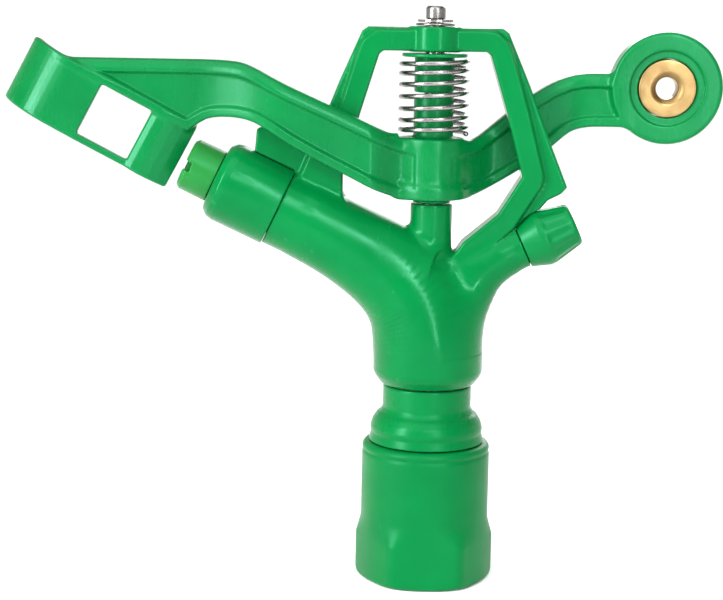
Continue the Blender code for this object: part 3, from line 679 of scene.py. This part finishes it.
def arm_field(x, y, z):
    """Hub and sleeve, the two halves of the beam, the spoon and the counterweight's eye."""
    r = np.hypot(x, y)
    roof_end = [spoon_point(34.5, WINDOW_TOP), (-92.4, 129.4)]
    left = beam(x, y, z, LEFT_HALF, left_offset, 1.6, roof_end)
    right = beam(x, y, z, RIGHT_HALF, right_offset, 0.9)
    hub = rod(r, z, HUB_R, HUB_Z, HUB_TOP_Z, 1.0)
    flange = rod(r, z, FLANGE_R, HUB_Z, HUB_Z + 2.2, 0.9)
    sleeve = rod(r, z, SLEEVE_R, 100.0, SPIGOT_TOP_Z, 0.5)
    shape = join(join(left, hub, 6.5), join(right, flange, 3.0), 4.0)
    shape = common(shape, HUB_Z - z, 0.6)
    shape = cut(shape, common(r - 9.2, 111.4 - z, 0.3), 0.8)
    shape = join(shape, sleeve, 0.8)

    u, v = spoon_coordinates(x, z)
    half_height = SPOON_HEIGHT / 2
    spoon = common(polygon(u, y, spoon_plan()), np.abs(v - half_height) - half_height, 0.8)
    shape = join(shape, spoon, 1.0)
    middle_u, middle_v = WINDOW_MIDDLE
    window = common(np.abs(u - middle_u) - WINDOW_HALF, np.abs(v - middle_v) - WINDOW_HALF, 0.8)
    shape = cut(shape, window, 0.6)

    eye = np.hypot(x - WEIGHT_X, z - WEIGHT_Z)
    ring = rod(eye, y, EYE_R, WEIGHT_Y - EYE_HALF, WEIGHT_Y + EYE_HALF, 1.2)
    shape = join(shape, ring, 1.4)
    across = np.abs(y - WEIGHT_Y)
    shape = cut(shape, common(eye - RECESS_R, 2.8 - across, 0.3), 0.5)
    shape = cut(shape, eye - INSERT_BORE_R, 0.3)
    return cut(shape, r - ARM_BORE_R, 0.3)


# ---- nozzles -------------------------------------------------------------------------------

TIP_PROFILE = [
    (4.1, 43.6),
    (5.0, 43.6),
    (5.0, 59.1),
    (6.5, 59.1),
    (6.4, 66.0),
    (5.7, 66.8),
    (3.3, 66.8),
    (2.2, 65.2),
    (2.2, 62.8),
]
NOTCH_HALF = 1.2
NOTCH_FLOOR = 65.2


def tip_field(x, y, z):
    """The nozzle tip, with three notches for its key in the rim."""
    along, height = barrel_coordinates(x, z)
    across = np.hypot(height, y)
    shape = polygon(across, along, TIP_PROFILE) - 0.15
    turn = np.arctan2(height, -y) + pi / 3
    share = turn % (2 * pi / 3) - pi / 3
    sideways = across * np.sin(share)
    rim = common(NOTCH_FLOOR - along, 3.0 - across, 0.2)
    notch = common(np.abs(sideways) - NOTCH_HALF, rim, 0.4)
    return cut(shape, notch, 0.3)


REAR_END = 39.4
GRIP_GROOVES = 12
GROOVE_DEPTH = 0.28
REAR_OUTLINE = [(5.6, 25.4), (7.1, 30.0), (7.1, 31.5), (5.4, 38.6), (4.9, REAR_END)]


def rear_field(x, y, z):
    """A tapered cap with grip grooves along it and a slot across its mouth."""
    along, height = rear_coordinates(x, z)
    across = np.hypot(height, y)
    outline = [(0.0, 25.4)] + REAR_OUTLINE + [(0.0, REAR_END)]
    shape = common(polygon(across, along, outline), along - REAR_END, 0.5)
    turn = np.arctan2(y, height)
    groove = GROOVE_DEPTH * (1.0 + np.cos(GRIP_GROOVES * turn)) / 2.0
    shape = shape + groove * ramp(along, 31.0, 32.5) * (1.0 - ramp(along, 37.0, 38.6))
    shape = cut(shape, common(across - 4.7, along - 32.8, 0.3), 0.3)
    shape = cut(shape, across - 1.5, 0.3)
    slot = common(np.abs(y) - 0.6, 38.0 - along, 0.3)
    return cut(shape, slot, 0.3)


# ---- materials -----------------------------------------------------------------------------


def new_material(name, colour, roughness, metallic=0.0):
    """A material of one even colour, and its shader."""
    made = bpy.data.materials.new(name)
    made.use_nodes = True
    shader = made.node_tree.nodes["Principled BSDF"]
    shader.inputs["Base Color"].default_value = (*colour, 1.0)
    shader.inputs["Roughness"].default_value = roughness
    shader.inputs["Metallic"].default_value = metallic
    return made, shader


def node(tree, kind, **values):
    made = tree.nodes.new(kind)
    for key, value in values.items():
        setattr(made, key, value)
    return made


def noise(tree, scale, detail=4.0, roughness=0.55, stretch=(1.0, 1.0, 1.0)):
    """Noise in the object's own coordinates, in metres."""
    place = node(tree, "ShaderNodeTexCoord")
    mapping = node(tree, "ShaderNodeMapping")
    mapping.inputs["Scale"].default_value = stretch
    tree.links.new(place.outputs["Object"], mapping.inputs["Vector"])
    made = node(tree, "ShaderNodeTexNoise")
    made.inputs["Scale"].default_value = scale
    made.inputs["Detail"].default_value = detail
    made.inputs["Roughness"].default_value = roughness
    tree.links.new(mapping.outputs["Vector"], made.inputs["Vector"])
    return made.outputs["Fac"]


def spread(tree, factor, low, high, start=0.3, end=0.7):
    """Stretches a factor of about start to end into the range low to high."""
    made = node(tree, "ShaderNodeMapRange")
    made.inputs["From Min"].default_value = start
    made.inputs["From Max"].default_value = end
    made.inputs["To Min"].default_value = low
    made.inputs["To Max"].default_value = high
    tree.links.new(factor, made.inputs["Value"])
    return made.outputs["Result"]


def mixed(tree, factor, first, second):
    """Mixes two colours; each is a tuple or a socket."""
    made = node(tree, "ShaderNodeMix", data_type="RGBA")
    colours = [s for s in made.inputs if s.type == "RGBA"]
    tree.links.new(factor, made.inputs["Factor"])
    for socket, colour in zip(colours, (first, second)):
        if isinstance(colour, tuple):
            socket.default_value = (*colour, 1.0)
        else:
            tree.links.new(colour, socket)
    return next(s for s in made.outputs if s.type == "RGBA")


def bumped(tree, shader, height, distance, strength):
    """The height field roughens the surface slightly."""
    made = node(tree, "ShaderNodeBump")
    made.inputs["Distance"].default_value = distance
    made.inputs["Strength"].default_value = strength
    tree.links.new(height, made.inputs["Height"])
    tree.links.new(made.outputs["Normal"], shader.inputs["Normal"])


def edge_wear(tree):
    """1 on sharp outside edges, broken up into patches."""
    geometry = node(tree, "ShaderNodeNewGeometry")
    sharp = spread(tree, geometry.outputs["Pointiness"], 0.0, 1.0, 0.53, 0.64)
    patchy = spread(tree, noise(tree, 190.0, 3.0), 0.0, 1.0, 0.36, 0.7)
    both = node(tree, "ShaderNodeMath", operation="MULTIPLY", use_clamp=True)
    tree.links.new(sharp, both.inputs[0])
    tree.links.new(patchy, both.inputs[1])
    return both.outputs[0]


def moulded_plastic(name, colour, roughness=0.3, gloss=0.32, tint=(0.3, 1.0, 0.7)):
    """Glossy moulded plastic: flow tone, orange peel, smeared gloss and rubbed edges."""
    made, shader = new_material(name, colour, roughness)
    tree = made.node_tree
    dark = tuple(0.86 * c for c in colour)
    pale = tuple(min(1.0, 1.1 * c) for c in colour)
    rubbed = tuple(min(1.0, 1.35 * c + 0.012) for c in colour)
    tone = mixed(tree, spread(tree, noise(tree, 45.0, 3.0), 0.0, 1.0), dark, pale)
    full = mixed(tree, edge_wear(tree), tone, rubbed)
    tree.links.new(full, shader.inputs["Base Color"])
    smear = noise(tree, 130.0, 5.0, 0.6, (1.0, 1.0, 0.35))
    uneven = spread(tree, smear, roughness - 0.07, roughness + 0.09)
    tree.links.new(uneven, shader.inputs["Roughness"])
    bumped(tree, shader, noise(tree, 700.0, 2.0), 0.0002, 0.07)
    shader.inputs["IOR"].default_value = 1.45
    shader.inputs["Specular IOR Level"].default_value = gloss
    shader.inputs["Specular Tint"].default_value = (*tint, 1.0)
    return made


def matt_rubber(name):
    """Black rubber with dust in its pores."""
    made, shader = new_material(name, (0.022, 0.022, 0.021), 0.75)
    tree = made.node_tree
    dust = spread(tree, noise(tree, 260.0, 5.0), 0.0, 0.6, 0.45, 0.75)
    dusted = mixed(tree, dust, (0.018, 0.018, 0.018), (0.075, 0.07, 0.062))
    tree.links.new(dusted, shader.inputs["Base Color"])
    tree.links.new(spread(tree, noise(tree, 500.0), 0.62, 0.86), shader.inputs["Roughness"])
    bumped(tree, shader, noise(tree, 2400.0, 3.0), 0.0002, 0.35)
    return made


def bright_steel(name, stretch=(1.0, 1.0, 14.0), roughness=0.24, painted_shade=1.0):
    """Drawn or ground stainless: fine marks, with a little dulling. The last argument darkens it as
    painted shade.
    """
    made, shader = new_material(name, (0.45, 0.44, 0.43), roughness, 1.0)
    # Painted shade: clean and dulled steel are darkened here, in place of dim surroundings mirrored
    # in the metal.
    clean = tuple(painted_shade * c for c in (0.5, 0.49, 0.48))
    dulled = tuple(painted_shade * c for c in (0.36, 0.34, 0.32))
    tree = made.node_tree
    dull = spread(tree, noise(tree, 320.0, 5.0), 0.0, 1.0)
    tree.links.new(mixed(tree, dull, clean, dulled), shader.inputs["Base Color"])
    grain = noise(tree, 1500.0, 3.0, 0.6, stretch)
    uneven = spread(tree, grain, roughness - 0.08, roughness + 0.14)
    tree.links.new(uneven, shader.inputs["Roughness"])
    bumped(tree, shader, grain, 0.00008, 0.25)
    return made


def turned_brass(name):
    """Machined brass: rings from the lathe tool and a warm, slightly tarnished tone."""
    made, shader = new_material(name, (0.83, 0.6, 0.27), 0.28, 1.0)
    tree = made.node_tree
    tarnish = spread(tree, noise(tree, 300.0, 5.0), 0.0, 1.0)
    tone = mixed(tree, tarnish, (0.35, 0.245, 0.105), (0.24, 0.15, 0.06))
    tree.links.new(tone, shader.inputs["Base Color"])
    place = node(tree, "ShaderNodeTexCoord")
    mapping = node(tree, "ShaderNodeMapping")
    mapping.inputs["Location"].default_value = (-WEIGHT_X * MM, 0.0, -WEIGHT_Z * MM)
    mapping.inputs["Scale"].default_value = (1.0, 0.0, 1.0)
    tree.links.new(place.outputs["Object"], mapping.inputs["Vector"])
    rings = node(tree, "ShaderNodeTexWave", wave_type="RINGS", rings_direction="SPHERICAL")
    rings.inputs["Scale"].default_value = 700.0
    rings.inputs["Distortion"].default_value = 0.4
    tree.links.new(mapping.outputs["Vector"], rings.inputs["Vector"])
    uneven = spread(tree, rings.outputs["Fac"], 0.3, 0.46, 0.0, 1.0)
    tree.links.new(uneven, shader.inputs["Roughness"])
    bumped(tree, shader, rings.outputs["Fac"], 0.00005, 0.3)
    return made


def white_plastic(name):
    """Off-white low-friction plastic, yellowed in places."""
    colour = (0.72, 0.71, 0.66)
    made, shader = new_material(name, colour, 0.42)
    tree = made.node_tree
    aged = spread(tree, noise(tree, 160.0, 4.0), 0.0, 1.0)
    yellowed = (colour[0] * 0.9, colour[1] * 0.86, colour[2] * 0.74)
    tree.links.new(mixed(tree, aged, colour, yellowed), shader.inputs["Base Color"])
    tree.links.new(spread(tree, noise(tree, 400.0), 0.36, 0.52), shader.inputs["Roughness"])
    bumped(tree, shader, noise(tree, 1500.0, 2.0), 0.0001, 0.15)
    return made


GREEN = (0.0003, 0.128, 0.027)
TIP_GREEN = (0.013, 0.15, 0.024)


# ---- placing the pieces --------------------------------------------------------------------


def placed(made, cad_node, finish):
    """The piece gets its finish, stands for a CAD node and moves with that node's body."""
    made.data.materials.clear()
    made.data.materials.append(finish)
    record = frame["record"]
    body = next(b for b, nodes in record["behaviour"]["bodies"].items() if cad_node in nodes)
    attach(made, body)
    show_as(cad_node)
    return made


def show_as(cad_node):
    """The piece stands for a CAD node, which is hidden."""
    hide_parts(cad_node)


def ring_profile(inner, outer, low, high):
    """A closed outline of a plain ring."""
    return [(inner, low), (outer, low), (outer, high), (inner, high)]


def build_inlet():
    """The fixed pieces."""
    low, high = around("inlet_socket", 1.0)
    socket = moulded("socket", socket_field, low, high, GRID * 0.75)
    placed(socket, "inlet_socket", moulded_plastic("socket_plastic", GREEN, 0.36, 0.22))
    collar = lathe(
        "collar",
        [
            (10.2, 29.6),
            (12.3, 29.6),
            (12.3, 35.1),
            (14.5, 35.1),
            (14.2, 36.2),
            (13.9, 37.2),
            (14.1, 38.0),
            (14.1, 38.8),
            (13.6, 40.3),
            (12.7, 41.7),
            (11.7, 42.5),
            (11.1, 43.6),
            (11.1, 49.0),
            (10.8, 49.4),
            (10.2, 49.4),
        ],
        0.35,
    )
    placed(collar, "bearing_collar", moulded_plastic("collar_plastic", GREEN, 0.28, 0.24))
    for name, cad_node, finish in (
        ("riser_seal", "riser_washer", matt_rubber("riser_rubber_worn")),
        ("friction_ring", "friction_washer", matt_rubber("friction_rubber_worn")),
        ("bearing_sleeve", "bearing_bush", white_plastic("sleeve_plastic")),
    ):
        ring_for(name, cad_node, finish)


def ring_for(name, cad_node, finish):
    """A finer ring in place of a plain turned CAD ring about Z."""
    co = np.array([v.co for v in frame["nodes"][cad_node].data.vertices]) / MM
    r = np.hypot(co[:, 0], co[:, 1])
    profile = ring_profile(r.min(), r.max(), co[:, 2].min(), co[:, 2].max())
    placed(lathe(name, profile, 0.25), cad_node, finish)


def build_body():
    """The head's moulding."""
    low, high = around("sprinkler_body", 1.2)
    body = moulded("body_moulding", body_field, low, high)
    placed(body, "sprinkler_body", moulded_plastic("body_plastic", GREEN, 0.2, 0.26))


def build_arm():
    """The pieces that swing."""
    low, high = around("drive_arm", 1.2)
    arm = moulded("arm_moulding", arm_field, low, high)
    placed(arm, "drive_arm", moulded_plastic("arm_plastic", GREEN, 0.27, 0.34, (0.4, 1.0, 0.8)))
    half = 3.4
    insert = lathe(
        "brass_weight",
        [
            (2.7, WEIGHT_Y - half + 1.2),
            (4.0, WEIGHT_Y - half),
            (7.1, WEIGHT_Y - half),
            (7.1, WEIGHT_Y + half),
            (4.0, WEIGHT_Y + half),
            (2.7, WEIGHT_Y + half - 1.2),
        ],
        0.4,
        eye_matrix(),
    )
    placed(insert, "counterweight_insert", turned_brass("brass"))
    ring_for("lower_bush", "lower_arm_bush", white_plastic("lower_bush_plastic"))
    ring_for("upper_bush", "upper_arm_bush", white_plastic("upper_bush_plastic"))


def build_nozzles():
    """Nut, tip and rear cap."""
    nut = lathe(
        "nozzle_sleeve",
        [
            (5.3, 33.0),
            (7.1, 33.0),
            (7.1, 43.3),
            (9.3, 43.3),
            (9.3, 41.92),
            (10.1, 41.92),
            (10.1, 55.6),
            (9.7, 57.2),
            (8.4, 58.6),
            (7.4, 58.8),
            (5.3, 58.8),
        ],
        0.35,
        barrel_matrix(),
    )
    placed(nut, "nozzle_nut", moulded_plastic("nut_plastic", GREEN, 0.22, 0.28))
    low, high = around("main_nozzle", 1.0)
    tip = moulded("nozzle_tip", tip_field, low, high, GRID * 0.6)
    placed(tip, "main_nozzle", moulded_plastic("tip_plastic", TIP_GREEN))
    low, high = around("rear_nozzle", 1.0)
    rear = moulded("rear_cap", rear_field, low, high, GRID * 0.6)
    placed(rear, "rear_nozzle", moulded_plastic("rear_plastic", GREEN))
    seal = lathe("nozzle_ring", ring_profile(7.4, 9.0, 42.1, 43.0), 0.3, barrel_matrix())
    placed(seal, "nozzle_seal", matt_rubber("nozzle_rubber_worn"))


def coil(radius, low, high, turns, start=0.0, steps=36):
    """Points of a coil about Z whose end turns lie almost flat."""
    points = []
    count = int(turns * steps)
    for i in range(count + 1):
        share = i / count
        flat = share * share * (3.0 - 2.0 * share)
        level = low + (high - low) * (0.65 * share + 0.35 * flat)
        turn = start + 2 * pi * turns * share
        points.append((radius * cos(turn), radius * sin(turn), level))
    return points


def build_pin_and_springs():
    """What stands on the riser axis above and below the arm."""
    pin = lathe(
        "pivot_pin",
        [
            (0.0, 85.3),
            (2.4, 85.3),
            (2.4, 139.15),
            (1.9, 139.15),
            (1.9, 140.05),
            (2.4, 140.05),
            (2.4, 142.7),
            (1.9, 143.2),
            (0.0, 143.2),
        ],
        0.25,
    )
    # Painted shade: the pin's steel is darkened to half.
    placed(pin, "fulcrum_pin", bright_steel("pin_steel_ground", (1.0, 1.0, 9.0), 0.26, 0.5))
    adjuster = lathe(
        "spring_holder",
        [
            (2.7, 122.3),
            (4.6, 122.3),
            (4.9, 122.7),
            (4.9, 130.9),
            (8.0, 130.9),
            (8.0, 131.7),
            (2.7, 131.7),
        ],
        0.3,
    )
    placed(adjuster, "spring_adjuster", moulded_plastic("holder_plastic", GREEN))
    # Painted shade: the washer ring's steel is darkened.
    ring_for("pin_ring", "pin_washer", bright_steel("ring_steel", (1.0, 1.0, 1.0), 0.28, 0.55))
    ring_for("hub_washer", "arm_washer", moulded_plastic("washer_plastic", GREEN))
    ring_for("dust_ring", "dust_washer", matt_rubber("dust_rubber_worn"))
    ring_for("thrust_ring", "thrust_washer", white_plastic("thrust_plastic"))
    spring = wire("return_spring", coil(8.1, 112.2, 130.0, 7), 0.6)
    # Painted shade: the spring's wire is darkened.
    spring.data.materials.append(bright_steel("spring_wire", (1.0, 1.0, 1.0), 0.2, 0.6))
    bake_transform(spring)
    show_as("arm_spring")
    lower = wire("seat_spring", coil(9.7, 51.5, 56.7, 3), 0.5)
    placed(lower, "bearing_spring", bright_steel("seat_wire", (1.0, 1.0, 1.0), 0.22))


def finish_cad_nodes():
    """Materials for the CAD pieces whose own shape is kept."""
    nodes = frame["nodes"]
    finishes = {
        "bearing_stem": moulded_plastic("stem_plastic", GREEN),
        "stream_straightener": white_plastic("straightener_plastic"),
        # Painted shade: the clip's steel is darkened.
        "pin_clip": bright_steel("clip_steel_pressed", (1.0, 1.0, 1.0), 0.28, 0.55),
    }
    for name, finish in finishes.items():
        mesh_object = nodes[name]
        for slot in mesh_object.material_slots:
            slot.link = "OBJECT"
            slot.material = finish


# ---- floor, light and camera ---------------------------------------------------------------


def sweep_profile():
    """(radius, z) of the floor, which curves up into a low rim all round, far from the object."""
    flat, rise = 3.0, 1.6
    steps = 12
    curve = [(0.0, 0.0), (1.0, 0.0)]
    for k in range(steps + 1):
        turn = radians(80.0) * k / steps
        curve.append((flat + rise * sin(turn), rise * (1.0 - cos(turn))))
    return curve


def build_floor():
    """A pale paper sweep, seamless from every side."""
    profile = sweep_profile()
    sides = 96
    points = [(0.0, 0.0, 0.0)]
    faces = []
    for r, z in profile[1:]:
        for k in range(sides):
            turn = 2 * pi * k / sides
            points.append((r * cos(turn), r * sin(turn), z))
    for k in range(sides):
        faces.append((0, 1 + k, 1 + (k + 1) % sides))
    for row in range(len(profile) - 2):
        first = 1 + row * sides
        for k in range(sides):
            j = (k + 1) % sides
            faces.append((first + k, first + sides + k, first + sides + j, first + j))
    mesh = bpy.data.meshes.new("floor")
    mesh.from_pydata(points, [], faces)
    floor = piece("floor", mesh)
    floor.location.z = -0.0002
    paper, shader = new_material("floor_paper", (0.94, 0.94, 0.94), 0.9)
    shader.inputs["Specular IOR Level"].default_value = 0.1
    mesh.materials.append(paper)


def build_studio():
    """Floor, camera and soft lights."""
    scene = bpy.context.scene
    build_floor()
    world = bpy.data.worlds.new("studio")
    scene.world = world
    world.use_nodes = True
    background = world.node_tree.nodes["Background"]
    background.inputs["Color"].default_value = (1.0, 1.0, 1.0, 1.0)
    background.inputs["Strength"].default_value = 0.35

    def area(name, place, aim, size, power):
        light = bpy.data.lights.new(name, "AREA")
        light.shape = "RECTANGLE"
        light.size, light.size_y = size
        light.energy = power
        made = bpy.data.objects.new(name, light)
        made.location = place
        made.rotation_euler = (Vector(aim) - Vector(place)).to_track_quat("-Z", "Y").to_euler()
        made.visible_camera = False
        scene.collection.objects.link(made)

    middle = (0.0, 0.0, 0.08)
    area("left_strip", (-0.82, -0.58, 0.40), middle, (0.26, 0.80), 16.0)
    area("right_strip", (0.24, -0.66, 0.34), middle, (0.06, 0.66), 3.2)
    area("key", (0.08, -0.58, 0.42), middle, (0.30, 0.14), 1.2)
    area("back_fill", (0.25, 0.72, 0.40), middle, (0.50, 0.40), 2.6)
    sky = bpy.data.lights.new("overhead", "SUN")
    sky.energy = 2.3
    sky.angle = radians(70.0)
    overhead = bpy.data.objects.new("overhead", sky)
    overhead.rotation_euler = (radians(22.0), radians(-12.0), 0.0)
    scene.collection.objects.link(overhead)


def build_camera():
    """A short telephoto about 45 cm away, slightly above, rolled by one degree."""
    target = Vector((-0.0169, 0.0, 0.0703))
    place = Vector((-0.0169, -0.440, 0.1457))
    data = bpy.data.cameras.new("camera")
    data.sensor_width = 36.0
    data.lens = 88.9
    data.clip_start = 0.01
    camera = bpy.data.objects.new("camera", data)
    bpy.context.scene.collection.objects.link(camera)
    camera.location = place
    aim = (target - place).to_track_quat("-Z", "Y").to_matrix().to_4x4()
    camera.rotation_euler = (aim @ Matrix.Rotation(radians(1.0), 4, "Z")).to_euler()
    bpy.context.scene.camera = camera


def main():
    """Builds every piece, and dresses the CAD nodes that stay."""
    build_inlet()
    build_body()
    build_arm()
    build_nozzles()
    build_pin_and_springs()
    finish_cad_nodes()
    build_studio()
    build_camera()
    bpy.context.scene.view_settings.view_transform = "Standard"


main()
